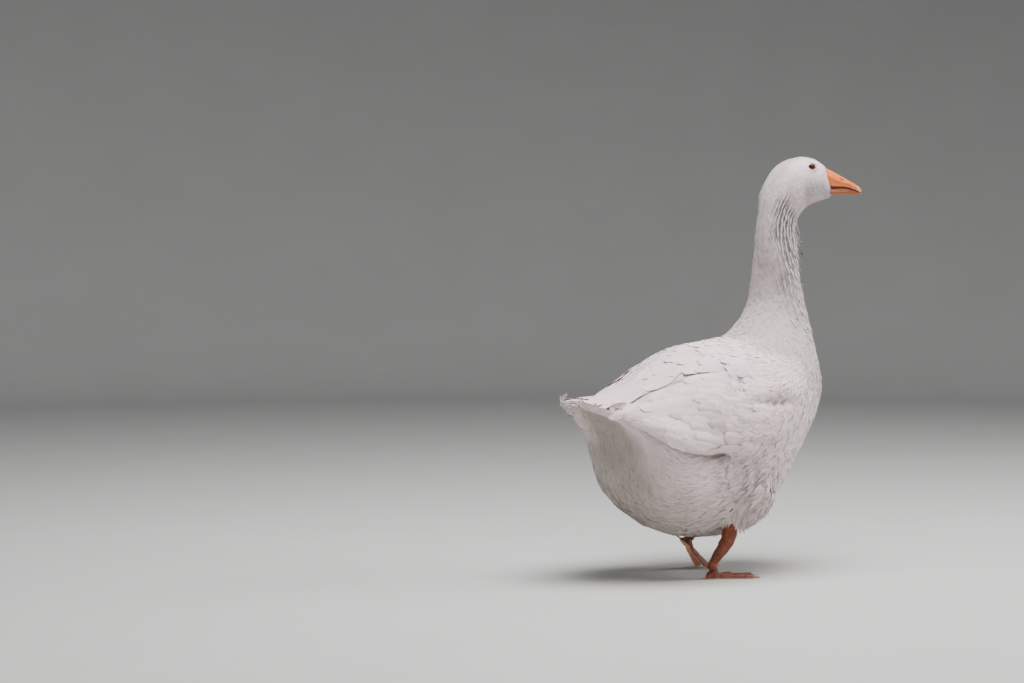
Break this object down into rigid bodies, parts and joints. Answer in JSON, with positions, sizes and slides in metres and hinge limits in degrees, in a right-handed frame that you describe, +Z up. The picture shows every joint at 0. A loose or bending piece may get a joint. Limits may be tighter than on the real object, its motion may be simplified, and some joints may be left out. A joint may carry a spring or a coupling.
{
  "type": "domestic goose",
  "caption": "Life-size still model of a white domestic goose in mid-step, its neck raised and its head turned to one side.",
  "frame": {"origin": "on the floor, under the middle of the whole model's box", "axes": "+X the way the goose walks, +Y to its left, +Z up"},
  "size_m": [0.6196, 0.3118, 0.7886],
  "materials": {
    "feathers": "soft matte white plumage",
    "bill": "satin orange skin over horn, paler at the nail",
    "leg_skin": "satin orange-red scaled skin",
    "claws": "dull brown horn",
    "eye": "wet dark brown"
  },
  "bodies": {
    "root": {"trunk": "feathers", "neck": "feathers", "head": "feathers", "tail": "feathers", "wing_left": "feathers", "wing_right": "feathers", "thigh_left": "feathers", "thigh_right": "feathers", "bill_upper": "bill", "bill_lower": "bill", "eye_left": "eye", "eye_right": "eye", "shank_left": "leg_skin", "shank_right": "leg_skin", "foot_left": "leg_skin", "foot_right": "leg_skin", "claw_inner_left": "claws", "claw_middle_left": "claws", "claw_outer_left": "claws", "claw_hind_left": "claws", "claw_inner_right": "claws", "claw_middle_right": "claws", "claw_outer_right": "claws", "claw_hind_right": "claws"}
  },
  "joints": []
}
